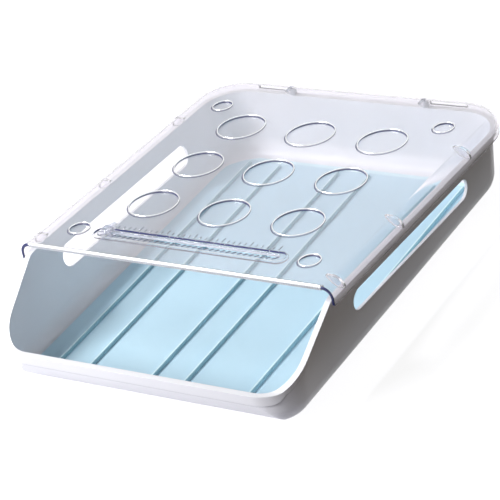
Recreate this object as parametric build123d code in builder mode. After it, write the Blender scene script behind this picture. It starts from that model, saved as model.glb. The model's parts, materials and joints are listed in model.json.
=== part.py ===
# Egg storage box: a scoop-fronted bin, a ribbed liner, a clear lid and a date slider.
# Millimetres, +X to the right, +Y to the back, +Z up. The origin is at the bottom centre
# of the whole object, which stands on four low feet with its scooped front towards -Y.
from build123d import *
import os
from math import cos, radians, sin, tan

os.makedirs("parts", exist_ok=True)

# Overall size
overall_width = 218.6       # over the lid's skirts
overall_length = 277.0      # from the bin's front rim to the back of the lid
back_height = 52.1          # lid top at its back edge
lid_slope = 3.6             # degrees that the lid falls towards the back
wall_draft = 6.0            # degrees that the bin narrows downwards

# Lid
lid_length = 222.8          # along its own slope
lid_depth = 11.5            # from its top to the bottom of the skirt
lid_top_wall = 2.0
skirt_wall = 1.7
shoulder_radius = 7.0
lid_corner_radius = 30.0
edge_round = 0.6            # on the lid's open front edge

# Bin
bin_wall = 2.0
bin_floor = 1.6
rim_drop = 8.0              # from the lid's top to the bin's rim
rim_ledge = 1.7             # flange outside the wall
rim_ledge_height = 2.5
lid_gap = 0.4               # all round between the flange and the skirt
base_fillet = 16.5
lip_height = 27.5           # top of the front lip above the table
scoop_angle = 31.4          # degrees
scoop_shoulder_radius = 12.0
scoop_foot_radius = 9.0
scoop_overlap = 1.1         # the scoop starts this far under the lid
apron_height = 6.4          # deeper flange along the front lip
apron_run = 5.0             # how far it keeps that depth round the corners
apron_end_angle = 55.0      # degrees at which it runs out upwards
apron_end_radius = 6.0
chin_drop = 6.0             # from the front lip down to where the rounded chin starts
chin_run = 23.5             # from the front lip back to where the chin meets the bottom
chin_ease = 0.3             # the chin starts this far outside the front wall
chin_rise = 0.05            # slope at which it leaves the bottom

# Side openings
slot_length = 138.0
slot_height = 13.8
slot_middle_y = 9.4
slot_middle_z = 33.7

# Feet, and the recesses that take the feet of a box stacked on top
foot_height = 1.0
foot_diameter = 11.5
foot_spread = 162.0         # across the box
foot_front_gap = 24.1       # from the lid's front edge, along the lid
foot_back_gap = 38.7        # from the lid's back edge, along the lid
recess_diameter = 13.0

# Round dishes in the lid
dish_diameter = 31.0
dish_pitch_x = 51.4
dish_pitch_y = 49.8
dish_front_gap = 60.7       # from the lid's front edge to the middle of the front row
dish_depth = 1.0
channel_wall = 1.0          # round the date channel, on the underside

# Bead under the lid's open front edge
bead_drop = 0.7
bead_width = 2.4

# Gusset fins under the lid's shoulders, which rest on the bin's rim
fin_thickness = 2.2
fin_back_gaps = [58.5, 142.0]   # from the lid's back edge, along the lid
fin_front_gap = 13.8        # from the lid's front edge, along the lid
back_fin_spread = 98.0
fin_reach = 12.0            # from the skirt's outer face, along the underside of the top
fin_foot = 4.8              # from the skirt's outer face, along the rim
fin_bulge = 1.6             # of its curved free edge

# Snap windows through the back of the skirt
window_length = 26.0
window_height = 2.8
window_drop = 6.0           # from the lid's top to the middle of each window
window_spread = 128.0

# Date scale
day_count = 31
day_pitch = 3.9
scale_middle = -1.5         # across the lid
channel_front_gap = 23.3    # from the lid's front edge to the channel's middle
channel_width = 9.4
channel_overrun = 8.4       # channel past the first and last day
track_width = 3.4
track_offset = 2.0          # the through track lies behind the channel's middle
notch_reach = 1.9           # of each V notch, from the track's front edge
tick_gap = 1.6              # from the channel to the foot of each tick
tick_length = 2.4
tall_tick_length = 4.4
tall_tick_every = 5
tick_width = 0.6
tick_height = 0.35

# Date slider
slider_width = 7.6
slider_length = 11.2
slider_corner = 1.9
slider_plate = 1.3
slider_play = 0.25
slider_neck = 5.6
pointer_reach = 5.0
pointer_root = 1.0          # overlap of the pointer and the plate
pointer_width = 5.0
grip_height = 1.0
grip_width = 1.1
grip_spacing = 2.6
grip_margin = 1.1           # from the grips' ends to the plate's edges
slider_foot = 1.0
slider_foot_width = 7.0
slider_foot_corner = 1.0

# Liner
liner_sheet = 0.8
liner_gap = 0.5
liner_side_gap = 5.0        # from the bin's inner walls at the floor
liner_back_gap = 8.9
liner_front_gap = 15.0
liner_back_corner = 20.0
liner_front_corner = 5.0
rail_height = 2.1
rail_width = 2.2
rail_pair = 23.0
rail_side_gap = 13.3        # from the liner's long edges to the outermost rails
rail_setback = 6.5          # rails stop short of the liner's ends
rail_round = 0.8

# Places that follow from the sizes above
half_width = overall_width / 2
back_y = overall_length / 2
front_y = -overall_length / 2
slope = radians(lid_slope)
draft = radians(wall_draft)
up_dir = (0, sin(slope), cos(slope))
front_dir = (0, -cos(slope), sin(slope))
lid_edge_y = back_y + shoulder_radius * (cos(slope) + sin(slope) - 1)
lid_top = Plane(origin=(0, lid_edge_y, back_height), x_dir=(1, 0, 0), z_dir=up_dir)
lid_up = Axis(lid_top.origin, up_dir)
rim_plane = lid_top.offset(-rim_drop)
tub_half = half_width - skirt_wall - lid_gap - rim_ledge
tub_back = skirt_wall + lid_gap + rim_ledge
tub_corner = lid_corner_radius - tub_back
lid_front_y = lid_edge_y - lid_length * cos(slope)
foot_rows = (foot_back_gap, lid_length - foot_front_gap)
foot_middle = sum(foot_rows) / 2
foot_pitch = foot_rows[1] - foot_rows[0]
channel_middle = lid_length - channel_front_gap
dish_middle = lid_length - dish_front_gap - dish_pitch_y
fin_places = (*fin_back_gaps, lid_length - fin_front_gap)
floor_z = foot_height + bin_floor
inner_fillet = base_fillet - bin_wall
front_lean = draft - slope  # of the bin's front wall, from upright
back_lean = draft + slope
far = overall_length


def rim_height(y):
    # Height of the rim plane above the table
    return back_height - rim_drop / cos(slope) + (lid_edge_y - y) * tan(slope)


def rim_depth(y, z):
    # Depth of a place below the rim plane, square to it
    return (rim_height(y) - z) * cos(slope)


# The bin's mouth, measured in the rim plane. Its front wall meets the front rim at the lip.
lip_place = (-rim_plane).to_local_coords(Vector(0, front_y + rim_ledge, lip_height))
tub_front = lip_place.Y + lip_place.Z * tan(draft)
tub_length = tub_front - tub_back
tub_drop = rim_height(front_y) + base_fillet
scoop_top_y = lid_front_y + scoop_overlap
scoop_foot_y = scoop_top_y - (rim_height(scoop_top_y) - lip_height) / tan(radians(scoop_angle))


def chin_side(grow, bottom):
    # Side view of the space below the rounded chin of a tub that is grown and cut level
    top_z = lip_height - chin_drop
    wall_y = front_y + rim_ledge + chin_drop * tan(front_lean)
    top_y = wall_y - grow * (cos(slope) - sin(slope) * tan(front_lean)) - chin_ease
    foot_y = front_y + chin_run
    with BuildSketch() as region:
        with BuildLine():
            TangentArc((foot_y, bottom), (top_y, top_z), tangent=(-1, chin_rise))
            Polyline((top_y, top_z), (-far, top_z), (-far, -far), (foot_y, -far), (foot_y, bottom))
        make_face()
    return region.sketch


def tub_solid(grow, bottom, bottom_round):
    # A solid tub with its mouth in the rim plane, narrowing downwards and cut level
    with BuildPart() as tub:
        with BuildSketch(-rim_plane):
            with Locations((0, (tub_front + tub_back) / 2)):
                RectangleRounded(2 * (tub_half + grow), tub_length + 2 * grow, tub_corner + grow)
        extrude(amount=tub_drop, taper=wall_draft)
        split(bisect_by=Plane.XY.offset(bottom), keep=Keep.TOP)
        if bottom_round > 0:
            fillet(tub.faces().sort_by(Axis.Z)[0].edges(), bottom_round)
            with BuildSketch(Plane.YZ):
                add(chin_side(grow, bottom))
            extrude(amount=overall_width, both=True, mode=Mode.SUBTRACT)
    return tub.part


def above_rim(drop):
    # Side view of the space above the rim line, or above that line lowered by a drop
    with BuildSketch() as region:
        with BuildLine():
            Polyline(
                (far, rim_height(far)),
                (scoop_top_y, rim_height(scoop_top_y)),
                (scoop_foot_y, lip_height),
                (-far, lip_height),
                (-far, far),
                (far, far),
                close=True,
            )
        make_face()
        shoulder = region.vertices().sort_by_distance((scoop_top_y, rim_height(scoop_top_y), 0))[0]
        fillet(shoulder, scoop_shoulder_radius)
        foot = region.vertices().sort_by_distance((scoop_foot_y, lip_height, 0))[0]
        fillet(foot, scoop_foot_radius)
        if drop > 0:
            offset(amount=drop)
    return region.sketch


def apron_side():
    # Side view of the deeper flange along the front lip, which runs out upwards
    low = lip_height - apron_height
    turn_y = front_y + apron_run
    high = lip_height + apron_height
    with BuildSketch() as region:
        with BuildLine():
            Polyline(
                (-far, high),
                (-far, low),
                (turn_y, low),
                (turn_y + (high - low) / tan(radians(apron_end_angle)), high),
                close=True,
            )
        make_face()
        fillet(region.vertices().sort_by_distance((turn_y, low, 0))[0], apron_end_radius)
    return region.sketch


# Bin
with BuildPart() as flange:
    with BuildSketch(Plane.YZ):
        add(above_rim(rim_ledge_height))
        add(apron_side())
        add(above_rim(0), mode=Mode.SUBTRACT)
    extrude(amount=overall_width, both=True)
    add(tub_solid(rim_ledge, 0, 0), mode=Mode.INTERSECT)

with BuildPart() as bin_body:
    add(tub_solid(0, foot_height, base_fillet))
    add(flange.part)
    add(tub_solid(-bin_wall, floor_z, inner_fillet), mode=Mode.SUBTRACT)
    with BuildSketch(Plane.YZ):
        add(above_rim(0))
    extrude(amount=overall_width, both=True, mode=Mode.SUBTRACT)
    slot_plane = Plane(
        origin=(0, slot_middle_y, slot_middle_z),
        x_dir=(0, cos(slope), -sin(slope)),
        z_dir=(1, 0, 0),
    )
    with BuildSketch(slot_plane):
        SlotOverall(slot_length, slot_height)
    extrude(amount=overall_width, both=True, mode=Mode.SUBTRACT)
    with BuildSketch():
        with Locations((0, lid_edge_y - foot_middle * cos(slope))):
            with GridLocations(foot_spread, foot_pitch * cos(slope), 2, 2):
                Circle(foot_diameter / 2)
    extrude(amount=foot_height + bin_floor / 2)
bin_body.part.label = "bin"
export_step(bin_body.part, "parts/bin.step")


def lid_block(inset, top_inset, front_overrun, shoulder):
    # The lid's outer block, or the space inside it, with rounded back corners and shoulders
    with BuildPart() as block:
        with BuildSketch(lid_top.offset(-top_inset)) as outline:
            length = lid_length + front_overrun - inset
            with Locations((0, -inset - length / 2)):
                Rectangle(2 * (half_width - inset), length)
            back_corners = outline.vertices().group_by(Axis.Y)[-1]
            fillet(back_corners, lid_corner_radius - inset)
        extrude(amount=-lid_depth)
        top_edges = block.faces().sort_by(lid_up)[-1].edges().sort_by(Axis.Y)
        fillet(top_edges[1:], shoulder)
    return block.part


def fin(skirt_x, skirt_y, inward):
    # A gusset whose foot stands on the rim, given a place on the skirt and the way inwards
    place = lid_top.from_local_coords(Vector(skirt_x, skirt_y, 0))
    tip = Vector(fin_reach, 0)
    foot = Vector(fin_foot, -rim_drop)
    square_to_edge = (tip - foot).normalized().rotate(Axis.Z, -90)
    with BuildPart() as gusset:
        with BuildSketch(Plane(origin=place, x_dir=inward, z_dir=Vector(*inward).cross(Vector(*up_dir)))):
            with BuildLine():
                ThreePointArc(tip, (tip + foot) / 2 + square_to_edge * fin_bulge, foot)
                Polyline(foot, (0, -rim_drop), (0, 0), tip)
            make_face()
        extrude(amount=fin_thickness / 2, both=True)
    return gusset.part


# Lid
lid_outer = lid_block(0, 0, 0, shoulder_radius)
with BuildPart() as fins:
    for fin_place in fin_places:
        add(fin(-half_width, -fin_place, (1, 0, 0)))
        add(fin(half_width, -fin_place, (-1, 0, 0)))
    add(fin(-back_fin_spread / 2, 0, front_dir))
    add(fin(back_fin_spread / 2, 0, front_dir))
    add(lid_outer, mode=Mode.INTERSECT)

scale_span = (day_count - 1) * day_pitch
channel_length = scale_span + 2 * channel_overrun
track_y = -channel_middle + track_offset
with BuildPart() as lid:
    add(lid_outer)
    add(lid_block(skirt_wall, lid_top_wall, lid_depth, shoulder_radius - skirt_wall), mode=Mode.SUBTRACT)
    front_face = lid.faces().sort_by(Axis.Y)[0]
    fillet(front_face.edges(), edge_round)
    add(fins.part)
    with BuildSketch(lid_top.offset(-lid_top_wall)):
        with Locations((0, bead_width / 2 - lid_length + edge_round)):
            Rectangle(2 * (half_width - shoulder_radius), bead_width)
    extrude(amount=-bead_drop)
    # Underside of the channel, so that the wall round the track keeps its thickness
    with BuildSketch(lid_top.offset(-lid_top_wall)):
        with Locations((scale_middle, -channel_middle)):
            SlotOverall(channel_length + 2 * channel_wall, channel_width + 2 * channel_wall)
    extrude(amount=-dish_depth)
    with BuildSketch(lid_top):
        with Locations((0, -dish_middle)):
            with GridLocations(dish_pitch_x, dish_pitch_y, 3, 3):
                Circle(dish_diameter / 2)
        with Locations((0, -foot_middle)):
            with GridLocations(foot_spread, foot_pitch, 2, 2):
                Circle(recess_diameter / 2)
        with Locations((scale_middle, -channel_middle)):
            SlotOverall(channel_length, channel_width)
    extrude(amount=-dish_depth, mode=Mode.SUBTRACT)
    # Through track with one V notch for each day along its front edge
    with BuildSketch(lid_top):
        with Locations((scale_middle, track_y)):
            SlotOverall(scale_span + slider_neck + 2 * slider_play, track_width)
        with Locations((scale_middle, track_y - track_width / 2)):
            with GridLocations(day_pitch, 1, day_count, 1):
                RegularPolygon(notch_reach, 4)
    extrude(amount=-lid_depth / 2, mode=Mode.SUBTRACT)
    # Raised ticks, one for each day
    tick_foot = -channel_middle + channel_width / 2 + tick_gap
    with BuildSketch(lid_top):
        for day in range(day_count):
            length = tall_tick_length if day % tall_tick_every == 0 else tick_length
            with Locations((scale_middle - scale_span / 2 + day * day_pitch, tick_foot + length / 2)):
                Rectangle(tick_width, length)
    extrude(amount=tick_height)
    # Snap windows through the back of the skirt
    with BuildSketch(Plane(origin=lid_top.origin, x_dir=(1, 0, 0), z_dir=front_dir)):
        with Locations((0, -window_drop)):
            with GridLocations(window_spread, 1, 2, 1):
                Rectangle(window_length, window_height)
    extrude(amount=shoulder_radius / 2, mode=Mode.SUBTRACT)
lid.part.label = "lid"
export_step(lid.part, "parts/lid.step")

# Date slider, at the first day
slider_x = scale_middle - scale_span / 2
slider_y = -channel_middle
plate_low = tick_height + slider_play
neck_drop = plate_low + lid_top_wall + dish_depth + slider_play
with BuildPart() as slider:
    with BuildSketch(lid_top.offset(plate_low)):
        with Locations((slider_x, slider_y)):
            RectangleRounded(slider_width, slider_length, slider_corner)
        pointer_foot = slider_y + slider_length / 2 - pointer_root
        with BuildLine():
            Polyline(
                (slider_x - pointer_width / 2, pointer_foot),
                (slider_x, pointer_foot + pointer_reach),
                (slider_x + pointer_width / 2, pointer_foot),
                close=True,
            )
        make_face()
    extrude(amount=slider_plate)
    with BuildSketch(lid_top.offset(plate_low + slider_plate)):
        with Locations((slider_x, slider_y)):
            with GridLocations(1, grip_spacing, 1, 3):
                Rectangle(slider_width - 2 * grip_margin, grip_width)
    extrude(amount=grip_height)
    with BuildSketch(lid_top.offset(plate_low)):
        with Locations((slider_x, track_y)):
            SlotOverall(slider_neck, track_width - 2 * slider_play)
    extrude(amount=-neck_drop)
    with BuildSketch(lid_top.offset(plate_low - neck_drop)):
        with Locations((slider_x, track_y)):
            RectangleRounded(slider_foot_width, slider_foot_width, slider_foot_corner)
    extrude(amount=-slider_foot)
slider.part.label = "date_slider"
export_step(slider.part, "parts/date_slider.step")

# Liner, moulded to the bin's bottom, so its edges turn up along the rounded corners
inner_front_y = front_y + rim_ledge + bin_wall + (lip_height - floor_z) * tan(front_lean)
back_rim = rim_plane.from_local_coords(Vector(0, -tub_back - bin_wall, 0))
inner_back_y = back_rim.Y - (back_rim.Z - floor_z) * tan(back_lean)
liner_front = inner_front_y + liner_front_gap
liner_back = inner_back_y - liner_back_gap
liner_length = liner_back - liner_front
narrow_half = tub_half - bin_wall - rim_depth(liner_front, floor_z) * tan(draft)
liner_half = narrow_half - liner_side_gap
liner_inset = bin_wall + liner_gap
rail_pitch = liner_half - rail_side_gap - rail_pair / 2
with BuildPart() as liner:
    add(tub_solid(-liner_inset, floor_z, inner_fillet))
    add(
        tub_solid(-liner_inset - liner_sheet, floor_z + liner_sheet, inner_fillet - liner_sheet),
        mode=Mode.SUBTRACT,
    )
    with BuildSketch() as outline:
        with Locations((0, (liner_back + liner_front) / 2)):
            Rectangle(2 * liner_half, liner_length)
        fillet(outline.vertices().group_by(Axis.Y)[-1], liner_back_corner)
        fillet(outline.vertices().group_by(Axis.Y)[0], liner_front_corner)
    extrude(amount=overall_length, mode=Mode.INTERSECT)
    with BuildSketch(Plane.XZ.offset(-liner_front - rail_setback)) as rail_ends:
        with Locations((0, floor_z + liner_sheet + rail_height / 2)):
            with GridLocations(rail_pitch, 1, 3, 1):
                with GridLocations(rail_pair, 1, 2, 1):
                    Rectangle(rail_width, rail_height)
        fillet(rail_ends.vertices().group_by(Axis.Y)[-1], rail_round)
    extrude(amount=2 * rail_setback - liner_length)
liner.part.label = "liner"
export_step(liner.part, "parts/liner.step")
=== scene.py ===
import json
from math import cos, pi, radians, sin

import bmesh
import bpy
from mathutils import Matrix, Vector


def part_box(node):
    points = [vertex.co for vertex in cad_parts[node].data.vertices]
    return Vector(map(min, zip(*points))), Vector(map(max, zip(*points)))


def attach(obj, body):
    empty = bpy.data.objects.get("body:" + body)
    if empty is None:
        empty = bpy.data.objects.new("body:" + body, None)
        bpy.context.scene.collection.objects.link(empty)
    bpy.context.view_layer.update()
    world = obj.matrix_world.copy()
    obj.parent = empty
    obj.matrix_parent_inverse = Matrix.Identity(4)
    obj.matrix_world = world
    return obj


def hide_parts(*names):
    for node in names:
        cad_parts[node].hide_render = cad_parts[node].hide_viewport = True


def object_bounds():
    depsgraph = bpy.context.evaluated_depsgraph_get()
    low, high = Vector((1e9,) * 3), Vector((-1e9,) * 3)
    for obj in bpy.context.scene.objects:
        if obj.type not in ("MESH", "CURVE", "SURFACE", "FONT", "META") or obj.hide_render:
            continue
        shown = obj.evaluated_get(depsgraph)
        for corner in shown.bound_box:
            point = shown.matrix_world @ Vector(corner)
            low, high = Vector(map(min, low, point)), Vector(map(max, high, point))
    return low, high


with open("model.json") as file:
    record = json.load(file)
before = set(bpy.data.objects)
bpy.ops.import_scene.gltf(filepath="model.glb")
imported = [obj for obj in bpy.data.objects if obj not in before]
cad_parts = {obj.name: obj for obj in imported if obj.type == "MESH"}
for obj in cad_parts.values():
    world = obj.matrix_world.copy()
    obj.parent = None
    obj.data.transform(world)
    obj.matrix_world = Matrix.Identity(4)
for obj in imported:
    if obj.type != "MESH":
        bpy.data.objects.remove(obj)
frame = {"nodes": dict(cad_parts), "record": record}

mm = 0.001
weldReach = 0.002 * mm      # corners nearer than this are one
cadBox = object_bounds()
print("frame loaded:", sorted(frame["nodes"]))


# Colours, nodes and objects

def hexColour(code):
    # sRGB hex to the linear values that the shaders take
    parts = [int(code[i:i + 2], 16) / 255 for i in (1, 3, 5)]
    linear = [p / 12.92 if p <= 0.04045 else ((p + 0.055) / 1.055) ** 2.4 for p in parts]
    return (*linear, 1.0)


def addNode(tree, kind, settings=None, links=None):
    # one node, with its own settings or socket values, and what feeds it;
    # a socket goes by its place where several share a name
    node = tree.nodes.new(kind)
    for name, value in (settings or {}).items():
        if isinstance(name, int) or name in node.inputs:
            node.inputs[name].default_value = value
        else:
            setattr(node, name, value)
    for name, socket in (links or {}).items():
        tree.links.new(socket, node.inputs[name])
    return node


def newMaterial(name):
    material = bpy.data.materials.new(name)
    material.use_nodes = True
    material.node_tree.nodes.clear()
    return material, material.node_tree


def grainBump(tree, grainSize, strength, depth):
    # moulded grain: noise with features of about grainSize metres
    place = addNode(tree, "ShaderNodeTexCoord")
    grain = addNode(tree, "ShaderNodeTexNoise",
                    {"Scale": 1 / grainSize, "Detail": 2.0, "Roughness": 0.6},
                    {"Vector": place.outputs["Object"]})
    bump = addNode(tree, "ShaderNodeBump", {"Strength": strength, "Distance": depth},
                   {"Height": grain.outputs["Fac"]})
    return place, bump


def newObject(name, bm, materials):
    # the mesh that was worked on becomes an object of the scene
    mesh = bpy.data.meshes.new(name)
    for material in materials:
        mesh.materials.append(material)
    bm.to_mesh(mesh)
    bm.free()
    obj = bpy.data.objects.new(name, mesh)
    bpy.context.scene.collection.objects.link(obj)
    return obj


# Materials

polypropyleneIor = 1.49
polystyreneIor = 1.59
bevelSamples = 6

binFinish = {
    "lit": "#F4F4F8",       # white, a little cool
    "shade": "#ECECF2",     # the same where the melt flowed thinner
    "cloudSize": 60 * mm,
    "grain": 0.7 * mm,      # real grain is finer, drawn as coarse as it needs to show
    "grainDepth": 0.02 * mm,
    "bump": 0.25,
    "roughLeast": 0.3,
    "roughMost": 0.4,
    "edgeRound": 0.5 * mm,
    "paintedShadeColour": "#5F5C66",    # painted shade in the groove under the flange and where walls meet
    "creaseReach": 3.0 * mm,
    "creaseFrom": 0.6,      # openness at which a crease is at its darkest
    "creaseTo": 0.95,       # and from which there is none
    "creaseSamples": 8,
}


def paintedCreaseShade(tree, colour):
    # painted shade: the colour darkens towards a dark grey where faces close in, as shade falls there
    openness = addNode(tree, "ShaderNodeAmbientOcclusion",
                       {"samples": binFinish["creaseSamples"], "only_local": True,
                        "Distance": binFinish["creaseReach"]})
    share = addNode(tree, "ShaderNodeMapRange",
                    {"From Min": binFinish["creaseFrom"], "From Max": binFinish["creaseTo"]},
                    {"Value": openness.outputs["AO"]})
    return addNode(tree, "ShaderNodeMix", {"data_type": "RGBA", 6: hexColour(binFinish["paintedShadeColour"])},
                   {"Factor": share.outputs["Result"], 7: colour})


def whitePolypropylene():
    # injection-moulded polypropylene: opaque, satin gloss, soft wide highlights, rounded edges
    material, tree = newMaterial("whitePolypropylene")
    place, bump = grainBump(tree, binFinish["grain"], binFinish["bump"], binFinish["grainDepth"])
    edge = addNode(tree, "ShaderNodeBevel", {"samples": bevelSamples, "Radius": binFinish["edgeRound"]})
    tree.links.new(edge.outputs["Normal"], bump.inputs["Normal"])
    clouds = addNode(tree, "ShaderNodeTexNoise", {"Scale": 1 / binFinish["cloudSize"], "Detail": 1.0},
                     {"Vector": place.outputs["Object"]})
    tone = addNode(tree, "ShaderNodeMix",
                   {"data_type": "RGBA", 6: hexColour(binFinish["lit"]), 7: hexColour(binFinish["shade"])},
                   {"Factor": clouds.outputs["Fac"]})
    # painted shade in the creases, over the white
    colour = paintedCreaseShade(tree, tone.outputs[2])
    gloss = addNode(tree, "ShaderNodeMapRange",
                    {"To Min": binFinish["roughLeast"], "To Max": binFinish["roughMost"]},
                    {"Value": clouds.outputs["Fac"]})
    shader = addNode(tree, "ShaderNodeBsdfPrincipled", {"IOR": polypropyleneIor},
                     {"Base Color": colour.outputs[2], "Roughness": gloss.outputs["Result"],
                      "Normal": bump.outputs["Normal"]})
    addNode(tree, "ShaderNodeOutputMaterial", links={"Surface": shader.outputs["BSDF"]})
    return material


linerFinish = {
    "cloudSize": 45 * mm,
    "grain": 0.6 * mm,
    "grainDepth": 0.03 * mm,
}
# the sheet, a rib's flank away from the light with painted shade, and its rounded crest on the side of the
# light with a painted highlight
linerLooks = {
    "blueLinerPlastic": {"lit": "#C8E7F6", "shade": "#BFE0F1", "bump": 0.35, "rough": 0.5},
    "ribFlankPaintedShade": {"lit": "#9FC9D6", "shade": "#94C0CF", "bump": 0.2, "rough": 0.4},
    "ribCrestPaintedHighlight": {"lit": "#DFF8FF", "shade": "#D5F2FC", "bump": 0.2, "rough": 0.4},
}


def bluePolypropylene(name):
    # soft light-blue polypropylene sheet with a fine spark-eroded face, so nearly matt;
    # its ribs are glossier, where the mould was polished by use
    look = linerLooks[name]
    material, tree = newMaterial(name)
    place, bump = grainBump(tree, linerFinish["grain"], look["bump"], linerFinish["grainDepth"])
    clouds = addNode(tree, "ShaderNodeTexNoise", {"Scale": 1 / linerFinish["cloudSize"], "Detail": 2.0},
                     {"Vector": place.outputs["Object"]})
    tone = addNode(tree, "ShaderNodeMix",
                   {"data_type": "RGBA", 6: hexColour(look["lit"]), 7: hexColour(look["shade"])},
                   {"Factor": clouds.outputs["Fac"]})
    shader = addNode(tree, "ShaderNodeBsdfPrincipled",
                     {"IOR": polypropyleneIor, "Roughness": look["rough"]},
                     {"Base Color": tone.outputs[2], "Normal": bump.outputs["Normal"]})
    addNode(tree, "ShaderNodeOutputMaterial", links={"Surface": shader.outputs["BSDF"]})
    return material


clearFinish = {
    "lid": "#F6F4F8",       # tint of light that passes the lid's wall, a little lavender
    "slider": "#F2F3FB",
    "shade": 0.2,           # share of the lamps' light that each face holds back
    "rough": 0.015,
    "clear": 0.93,          # the rest is a faint milky veil
    "waveSize": 14 * mm,    # slow unevenness of a moulded clear wall
    "waveDepth": 0.03 * mm,
    "bump": 0.15,
    "edgeRound": 0.35 * mm,
}


def clearPolystyrene(name, tint):
    # clear polished polystyrene: sharp reflections, strong edges, faint flow waves.
    # Lamp light and soft light pass straight through, as thin clear walls let them.
    material, tree = newMaterial(name)
    place, bump = grainBump(tree, clearFinish["waveSize"], clearFinish["bump"], clearFinish["waveDepth"])
    edge = addNode(tree, "ShaderNodeBevel", {"samples": bevelSamples, "Radius": clearFinish["edgeRound"]})
    tree.links.new(edge.outputs["Normal"], bump.inputs["Normal"])
    path = addNode(tree, "ShaderNodeLightPath")
    soft = addNode(tree, "ShaderNodeMath", {"operation": "MAXIMUM"},
                   {0: path.outputs["Is Shadow Ray"], 1: path.outputs["Is Diffuse Ray"]})
    solid = addNode(tree, "ShaderNodeMapRange", {"To Min": 1.0, "To Max": clearFinish["shade"]},
                    {"Value": soft.outputs["Value"]})
    shader = addNode(tree, "ShaderNodeBsdfPrincipled",
                     {"Base Color": hexColour(tint), "IOR": polystyreneIor,
                      "Roughness": clearFinish["rough"], "Transmission Weight": clearFinish["clear"]},
                     {"Normal": bump.outputs["Normal"], "Alpha": solid.outputs["Result"]})
    addNode(tree, "ShaderNodeOutputMaterial", links={"Surface": shader.outputs["BSDF"]})
    return material


# A small step in clear plastic shows as a line: light where its rim is rounded, dark below,
# where it looks along the wall. These finishes paint that look on the walls and rims of such steps:
# a painted highlight and a painted dark reflection. Each has a colour at its foot and one at its top,
# at heights in millimetres over the lid's top.
paintedEdgeLines = {
    "dishWall": {"foot": "#8A8DB4", "top": "#FFFFFF", "see": 0.4, "from": -1.0, "to": -0.3},
    "rimLight": {"foot": "#F4F5FB", "top": "#FFFFFF", "see": 0.0, "from": -0.4, "to": 0.2,
                 "mirror": 1.0},
    "rimDark": {"foot": "#20234F", "top": "#3A3D6E", "see": 0.0, "from": -1.6, "to": -0.8},
    "paintedDarkLine": {"foot": "#18215F", "top": "#2C3677", "see": 0.0, "from": -1.0, "to": 0.0},
    "toothDark": {"foot": "#1C2760", "top": "#34407F", "see": 0.0, "from": -2.6, "to": -1.2},
    "toothLight": {"foot": "#E8ECF6", "top": "#FFFFFF", "see": 0.2, "from": -2.6, "to": -1.2},
    "tick": {"foot": "#C2C7DA", "top": "#F2F4FA", "see": 0.55, "from": 0.0, "to": 0.35},
    "bead": {"foot": "#4F5272", "top": "#FFFFFF", "see": 0.0, "from": -0.9, "to": -0.5},
    "finEdge": {"foot": "#F4F6FC", "top": "#6F7594", "see": 0.3, "from": -3.4, "to": -2.4},
    "windowEdge": {"foot": "#7E7C88", "top": "#A4A3AF", "see": 0.2, "from": -8.0, "to": -4.0},
}
edgeRough = 0.15
hatchPitch = 1.7 * mm       # ribs across the front bead, real ones are near 1 mm: drawn to show


def paintedEdgeLook(name, hatched=False):
    # painted look of a moulded step: one colour at its foot, another at its top, partly seen through; the
    # light one is a painted highlight, the dark one a painted dark reflection
    look = paintedEdgeLines[name]
    material, tree = newMaterial(name)
    place = addNode(tree, "ShaderNodeTexCoord")
    rise = addNode(tree, "ShaderNodeVectorMath", {"operation": "DOT_PRODUCT", 1: lidUp},
                   {0: place.outputs["Object"]})
    share = addNode(tree, "ShaderNodeMapRange",
                    {"From Min": lidTop + look["from"] * mm, "From Max": lidTop + look["to"] * mm,
                     "interpolation_type": "SMOOTHSTEP"},
                    {"Value": rise.outputs["Value"]})
    factor = share.outputs["Result"]
    if hatched:
        # one wave of the texture is 2 pi / 20 of its unit long
        ribs = addNode(tree, "ShaderNodeTexWave", {"bands_direction": "X", "Scale": pi / 10 / hatchPitch},
                       {"Vector": place.outputs["Object"]})
        added = addNode(tree, "ShaderNodeMath", {"operation": "ADD", "use_clamp": True},
                        {0: factor, 1: ribs.outputs["Fac"]})
        factor = added.outputs["Value"]
    colour = addNode(tree, "ShaderNodeMix",
                     {"data_type": "RGBA", 6: hexColour(look["foot"]), 7: hexColour(look["top"])},
                     {"Factor": factor})
    # a clear rim turns the light back inside, so it is drawn as a mirror: a painted highlight
    body = addNode(tree, "ShaderNodeBsdfPrincipled",
                   {"IOR": polystyreneIor, "Roughness": edgeRough, "Metallic": look.get("mirror", 0.0)},
                   {"Base Color": colour.outputs[2]})
    through = addNode(tree, "ShaderNodeBsdfTransparent", links={"Color": colour.outputs[2]})
    both = addNode(tree, "ShaderNodeMixShader", {"Fac": look["see"]},
                   {1: body.outputs["BSDF"], 2: through.outputs["BSDF"]})
    addNode(tree, "ShaderNodeOutputMaterial", links={"Surface": both.outputs["Shader"]})
    return material


# Where things are on the lid: its own up and front directions, and the heights and places on them
lidUp = Vector(next(j for j in frame["record"]["behaviour"]["joints"] if j["name"] == "lid_lift")["axis"])
lidFront = Vector((0, -lidUp.z, lidUp.y))
lidAcross = Vector((1, 0, 0))
lidCorners = [v.co for v in frame["nodes"]["lid"].data.vertices]
lidZones = {
    "tick": 0.35 * mm,          # height of the raised ticks above the lid's top
    "step": 1.1 * mm,           # depth of the dishes, recesses and channel, and a little
    "track": 3.2 * mm,          # depth of the track's walls below the lid's top
    "besideTrack": 8.2 * mm,    # from the track's middle past the channel's walls
    "channelReach": 71 * mm,    # half of the channel's length, and a little
    "rim": 8.0 * mm,            # width of the rounded shoulders
    "bead": 3.2 * mm,           # length of the beaded front edge
    "frontEnd": 0.8 * mm,       # length of the rounding at the lid's open front end
}
backFin = {"place": 49.0 * mm, "thick": 1.2 * mm}
backWindow = {"place": 64.0 * mm, "half": 13.2 * mm, "top": -4 * mm, "foot": -8 * mm}
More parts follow.
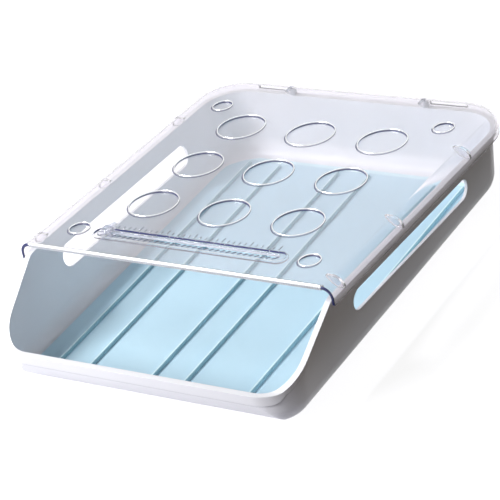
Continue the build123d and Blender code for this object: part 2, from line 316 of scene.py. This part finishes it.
# how far a face's normal leans along a direction, from 0 to 1
lean = {
    "steep": 0.5,               # less than this along up is a wall
    "square": 0.8,              # more than this along x or up is a side of a snap window
    "away": -0.3,               # less than this along front is a wall that looks back
    "flankLeast": 0.3,          # along x, the flank of a notch in the track
    "flankMost": 0.9,
}
lidTop = max(c.dot(lidUp) for c in lidCorners) - lidZones["tick"]
lidFrontEnd = max(c.dot(lidFront) for c in lidCorners)
lidBackEnd = min(c.dot(lidFront) for c in lidCorners)
lidHalf = max(c.x for c in lidCorners)
sliderLow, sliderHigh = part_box("date_slider")
trackPlace = (Vector(sliderLow) + Vector(sliderHigh)).dot(lidFront) / 2


def channelZone(face, rise):
    # walls of the date channel and of the notched track in its floor, which get painted dark and light
    # lines
    if rise > -lidZones["step"]:
        return "paintedDarkLine" if face.normal.dot(lidFront) > lean["away"] else "toothLight"
    if rise < -lidZones["track"] or face.normal.dot(lidFront) > 0:
        return "clear"
    return "toothDark" if lean["flankLeast"] < abs(face.normal.x) < lean["flankMost"] else "toothLight"


def backZone(middle, face, rise):
    # snap windows and fins behind the top's back edge, whose edges get painted dark lines
    if abs(abs(middle.x) - backFin["place"]) < backFin["thick"]:
        return "finEdge"
    side = max(abs(face.normal.x), abs(face.normal.dot(lidUp))) > lean["square"]
    inWindow = side and abs(abs(middle.x) - backWindow["place"]) < backWindow["half"]
    if inWindow and backWindow["foot"] < rise < backWindow["top"]:
        return "windowEdge"
    return "clear"


def lidZone(face):
    # the name of the finish that a face of the lid gets: clear, or one of the painted edge looks
    middle = face.calc_center_median()
    rise = middle.dot(lidUp) - lidTop
    reach = middle.dot(lidFront)
    inside = abs(middle.x) < lidHalf - lidZones["rim"]
    if inside and reach > lidFrontEnd - lidZones["bead"]:
        return "bead"
    if not inside:
        return "paintedDarkLine" if reach > lidFrontEnd - lidZones["frontEnd"] else "clear"
    if reach < lidBackEnd + lidZones["rim"]:
        return backZone(middle, face, rise)
    if abs(face.normal.dot(lidUp)) >= lean["steep"]:
        return "clear"
    if rise > 0:
        return "tick"
    besideTrack = abs(reach - trackPlace) < lidZones["besideTrack"]
    if besideTrack and abs(middle.x) < lidZones["channelReach"]:
        return channelZone(face, rise)
    return "dishWall" if rise > -lidZones["step"] else "clear"


# Where the liner's ribs are
ribSet = {
    "height": 2.05 * mm,        # of the ribs over the sheet, a little less
    "reach": 82 * mm,           # half of the ribbed width
    "paintedShadeLean": 0.15,              # a normal that leans further than this along x is a flank's, which gets painted shade
    "flatHalf": 60 * mm,        # half of the width in which the liner has no turned-up edge
}
linerHigh = max(v.co.z for v in frame["nodes"]["liner"].data.vertices
                if abs(v.co.x) < ribSet["flatHalf"])


# a rib's faces turned away from the key lamp get painted shade, its other faces a painted highlight
def linerZone(face):
    middle = face.calc_center_median()
    if middle.z < linerHigh - ribSet["height"] or abs(middle.x) > ribSet["reach"]:
        return "blueLinerPlastic"
    return "ribFlankPaintedShade" if face.normal.x > ribSet["paintedShadeLean"] else "ribCrestPaintedHighlight"


# Pieces: each stands for its CAD node, welded and smooth-shaded

def dressNode(node, piece, body, materials, smoothAngle, zoneOf=None):
    # materials go by name, and zoneOf gives the name of a face's own; without it all get the first
    names = list(materials)
    bm = bmesh.new()
    bm.from_mesh(frame["nodes"][node].data)
    bmesh.ops.remove_doubles(bm, verts=bm.verts, dist=weldReach)
    for edge in bm.edges:
        edge.smooth = edge.calc_face_angle(0) < radians(smoothAngle)
    for face in bm.faces:
        face.smooth = True
        face.material_index = names.index(zoneOf(face)) if zoneOf else 0
    obj = newObject(piece, bm, materials.values())
    even = obj.modifiers.new("evenShading", "WEIGHTED_NORMAL")
    even.keep_sharp = True
    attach(obj, body)
    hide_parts(node)


# Rims: a moulded rim is rounder than the CAD's, and clear plastic shows it as a bright line with a
# dark one at the wall's foot. Round tubes draw both: a mirror-bright one as a painted highlight,
# and a dark one set in the plastic as a painted dark line.
rimRings = {
    # radius, distance out from the wall, height over the lid's top, and shift to its front
    "rimLight": {"tube": 0.36 * mm, "grow": 0.0, "lift": -0.05 * mm, "shift": -0.15 * mm},
    "rimDark": {"tube": 0.4 * mm, "grow": 0.35 * mm, "lift": -1.1 * mm, "shift": 0.75 * mm},
}
rimBars = {
    "frontTube": 0.45 * mm,     # a painted highlight along the lid's open front edge, just above its ribbed bead
    "frontInset": 0.9 * mm,
    "channelTube": 0.42 * mm,   # a painted dark line inside the plastic behind the date channel
    "channelBack": 3.03 * mm,   # from the track's middle
    "channelDeep": 0.5 * mm,
    "channelHalf": 62.0 * mm,   # half of its length
}
tubeSides = 8
ringSteps = 72
leastCorners = 12               # a round wall has more corners than this


def roundWalls():
    # each dish and recess, found by its wall: the wall's middle and radius
    bm = bmesh.new()
    bm.from_mesh(frame["nodes"]["lid"].data)
    bmesh.ops.remove_doubles(bm, verts=bm.verts, dist=weldReach)
    bm.faces.ensure_lookup_table()
    bm.faces.index_update()
    bm.verts.index_update()
    left = {face.index for face in bm.faces if lidZone(face) == "dishWall"}
    found = []
    while left:
        first = min(left)
        left.remove(first)
        wall = [bm.faces[first]]
        for face in wall:
            for near in (f for side in face.edges for f in side.link_faces):
                if near.index in left:
                    left.remove(near.index)
                    wall.append(near)
        corners = list({v.index: v.co for face in wall for v in face.verts}.values())
        middle = sum(corners, Vector()) / len(corners)
        flat = [c - middle - lidUp * (c - middle).dot(lidUp) for c in corners]
        if len(corners) > leastCorners:
            found.append((middle, sum(p.length for p in flat) / len(flat)))
    bm.free()
    return found


def rimRing(bm, middle, radius, kind):
    # a round tube bent to a ring, square to the lid's up direction
    ring = rimRings[kind]
    centre = middle + lidUp * (lidTop + ring["lift"] - middle.dot(lidUp)) + lidFront * ring["shift"]
    stand = Matrix((lidAcross, lidUp, lidFront)).transposed().to_4x4()
    stand.translation = centre + lidAcross * (radius + ring["grow"])
    circle = bmesh.ops.create_circle(bm, segments=tubeSides, radius=ring["tube"])
    bmesh.ops.transform(bm, matrix=stand, verts=circle["verts"])
    sides = list(dict.fromkeys(edge for vert in circle["verts"] for edge in vert.link_edges))
    before = set(bm.faces)
    bmesh.ops.spin(bm, geom=circle["verts"] + sides, cent=centre, axis=lidUp, angle=2 * pi,
                   steps=ringSteps, use_merge=True)
    for face in set(bm.faces) - before:
        face.smooth = True
        face.material_index = list(rimRings).index(kind)


def rimBar(bm, place, halfLong, tube, kind):
    # a round bar along x
    before = set(bm.faces)
    stand = Matrix((lidUp, lidFront, lidAcross)).transposed().to_4x4()
    stand.translation = place - lidAcross * halfLong
    circle = bmesh.ops.create_circle(bm, segments=tubeSides, radius=tube, cap_ends=True)
    bmesh.ops.transform(bm, matrix=stand, verts=circle["verts"])
    face = circle["verts"][0].link_faces[0]
    longer = bmesh.ops.extrude_face_region(bm, geom=[face], use_keep_orig=True)
    moved = [part for part in longer["geom"] if isinstance(part, bmesh.types.BMVert)]
    bmesh.ops.translate(bm, verts=moved, vec=lidAcross * 2 * halfLong)
    for face in set(bm.faces) - before:
        face.material_index = list(rimRings).index(kind)


def paintedRimLines():
    # painted highlight tube on the rim of each dish and recess, a painted dark line at the foot of its
    # wall, and two bars: one painted highlight, one painted dark line
    bm = bmesh.new()
    place = lidFront * (lidFrontEnd - rimBars["frontInset"]) + lidUp * lidTop
    rimBar(bm, place, lidHalf - lidZones["rim"], rimBars["frontTube"], "rimLight")
    place = lidFront * (trackPlace - rimBars["channelBack"]) + lidUp * (lidTop - rimBars["channelDeep"])
    rimBar(bm, place, rimBars["channelHalf"], rimBars["channelTube"], "rimDark")
    for middle, radius in roundWalls():
        for kind in rimRings:
            rimRing(bm, middle, radius, kind)
    bmesh.ops.remove_doubles(bm, verts=bm.verts, dist=weldReach)
    bmesh.ops.recalc_face_normals(bm, faces=bm.faces)
    rims = newObject("paintedRimLines", bm, [paintedEdgeLook(kind) for kind in rimRings])
    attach(rims, "lid_body")
    print("dish rims:", len(rims.data.polygons), "faces")


mouldedAngle = 30               # degrees up to which an edge is shaded smooth
clearAngle = 25
binMaterials = {"white": whitePolypropylene()}
linerMaterials = {name: bluePolypropylene(name) for name in linerLooks}
lidMaterials = {"clear": clearPolystyrene("clearPolystyrene", clearFinish["lid"])}
for edgeName in ("dishWall", "paintedDarkLine", "toothDark", "toothLight", "tick", "finEdge", "windowEdge"):
    lidMaterials[edgeName] = paintedEdgeLook(edgeName)
lidMaterials["bead"] = paintedEdgeLook("bead", hatched=True)
sliderMaterials = {"clear": clearPolystyrene("sliderPolystyrene", clearFinish["slider"])}

dressNode("bin", "binShell", "bin_body", binMaterials, mouldedAngle)
dressNode("liner", "ribbedLiner", "liner_body", linerMaterials, mouldedAngle, linerZone)
dressNode("lid", "clearLid", "lid_body", lidMaterials, clearAngle, lidZone)
dressNode("date_slider", "dateSlider", "slider_body", sliderMaterials, clearAngle)
paintedRimLines()
print("pieces dressed")


# Floor, light and camera, in metres where nothing else is said

stageSet = {
    "floorSize": 6.0,
    "floorColour": "#B4B4BE",   # what the object's soft light gets back from the floor
    "floorGlow": 0.93,          # white level of the floor where it is in full shadow
    "ambient": 0.17,
    "cardColour": "#6E604F",    # dark warm card beside the box, which keeps its right side in shade
    "cardGap": 0.012,           # from the box to the card
    "cardLift": 0.001,
    "cardWide": 0.9,
    "cardLong": 1.1,
}
lamps = {
    "keyLamp": {"way": (-0.62, -0.15, 0.77), "distance": 1.4, "size": 0.4, "watts": 12.6},
    "frontLamp": {"way": (-0.5, -1.0, 0.5), "distance": 0.8, "size": 0.3, "watts": 4.2},
}


def whiteForLens(tree):
    # 1 for rays from the lens, and for those that come from gloss or through clear plastic
    path = addNode(tree, "ShaderNodeLightPath")
    first = addNode(tree, "ShaderNodeMath", {"operation": "MAXIMUM"},
                    {0: path.outputs["Is Camera Ray"], 1: path.outputs["Is Glossy Ray"]})
    both = addNode(tree, "ShaderNodeMath", {"operation": "MAXIMUM"},
                   {0: first.outputs["Value"], 1: path.outputs["Is Transmission Ray"]})
    return both.outputs["Value"]


def flatSheet(name, middle, wide, long, material):
    bm = bmesh.new()
    bmesh.ops.create_grid(bm, x_segments=1, y_segments=1, size=0.5)
    bmesh.ops.scale(bm, verts=bm.verts, vec=(wide, long, 1))
    bmesh.ops.translate(bm, verts=bm.verts, vec=middle)
    return newObject(name, bm, [material])


def makeFloor():
    material, tree = newMaterial("palePaperFloor")
    paper = addNode(tree, "ShaderNodeBsdfDiffuse", {"Color": hexColour(stageSet["floorColour"])})
    glow = addNode(tree, "ShaderNodeMath", {"operation": "MULTIPLY", 1: stageSet["floorGlow"]},
                   {0: whiteForLens(tree)})
    white = addNode(tree, "ShaderNodeEmission", links={"Strength": glow.outputs["Value"]})
    both = addNode(tree, "ShaderNodeAddShader",
                   links={0: paper.outputs["BSDF"], 1: white.outputs["Emission"]})
    addNode(tree, "ShaderNodeOutputMaterial", links={"Surface": both.outputs["Shader"]})
    floor = flatSheet("floor", (0, 0, 0), stageSet["floorSize"], stageSet["floorSize"], material)


def makeCard():
    # lies on the floor beside the box, and neither the lens nor clear plastic shows it
    material, tree = newMaterial("darkCard")
    paper = addNode(tree, "ShaderNodeBsdfDiffuse", {"Color": hexColour(stageSet["cardColour"])})
    addNode(tree, "ShaderNodeOutputMaterial", links={"Surface": paper.outputs["BSDF"]})
    middle = (cadBox[1][0] + stageSet["cardGap"] + stageSet["cardWide"] / 2, 0, stageSet["cardLift"])
    card = flatSheet("shadeCard", middle, stageSet["cardWide"], stageSet["cardLong"], material)
    card.visible_camera = False
    card.visible_transmission = False
    card.visible_shadow = False


def makeWorld():
    world = bpy.data.worlds.new("whiteStudio")
    world.use_nodes = True
    tree = world.node_tree
    tree.nodes.clear()
    level = addNode(tree, "ShaderNodeMapRange", {"To Min": stageSet["ambient"], "To Max": 1.0},
                    {"Value": whiteForLens(tree)})
    sky = addNode(tree, "ShaderNodeBackground", {"Color": hexColour("#FFFFFF")},
                  {"Strength": level.outputs["Result"]})
    addNode(tree, "ShaderNodeOutputWorld", links={"Surface": sky.outputs["Background"]})
    bpy.context.scene.world = world


def softLamp(name):
    # a white area lamp that looks at the middle of the box
    lamp = lamps[name]
    middle = (cadBox[0] + cadBox[1]) / 2
    data = bpy.data.lights.new(name, "AREA")
    data.shape = "SQUARE"
    data.size = lamp["size"]
    data.energy = lamp["watts"]
    obj = bpy.data.objects.new(name, data)
    bpy.context.scene.collection.objects.link(obj)
    way = Vector(lamp["way"]).normalized()
    obj.location = middle + way * lamp["distance"]
    obj.rotation_euler = way.to_track_quat("Z", "Y").to_euler()
    obj.visible_camera = False


makeFloor()
makeCard()
makeWorld()
for lampName in lamps:
    softLamp(lampName)

camera = {
    "place": (753.8, -922.0, 740.6),    # millimetres
    "azimuth": 39.552,
    "elevation": 31.098,
    "roll": -15.158,
    "focalPixels": 2311.806,            # in the photograph's 500 pixels
    "framePixels": 500,
    "sensor": 36.0,                     # millimetres
    "nearest": 0.05,
    "farthest": 20,
}


def makeCamera():
    a, e, r = (radians(camera[k]) for k in ("azimuth", "elevation", "roll"))
    back = Vector((sin(a) * cos(e), -cos(a) * cos(e), sin(e)))
    level = Vector((cos(a), sin(a), 0))
    rise = back.cross(level)
    right = level * cos(r) + rise * sin(r)
    up = rise * cos(r) - level * sin(r)
    data = bpy.data.cameras.new("photoCamera")
    data.sensor_width = camera["sensor"]
    data.lens = camera["focalPixels"] / camera["framePixels"] * camera["sensor"]
    data.clip_start = camera["nearest"]
    data.clip_end = camera["farthest"]
    obj = bpy.data.objects.new("photoCamera", data)
    bpy.context.scene.collection.objects.link(obj)
    turn = Matrix((right, up, back)).transposed().to_4x4()
    obj.matrix_world = Matrix.Translation(Vector(camera["place"]) * mm) @ turn
    bpy.context.scene.camera = obj


makeCamera()
bpy.context.scene.view_settings.view_transform = "Standard"
print("stage set")
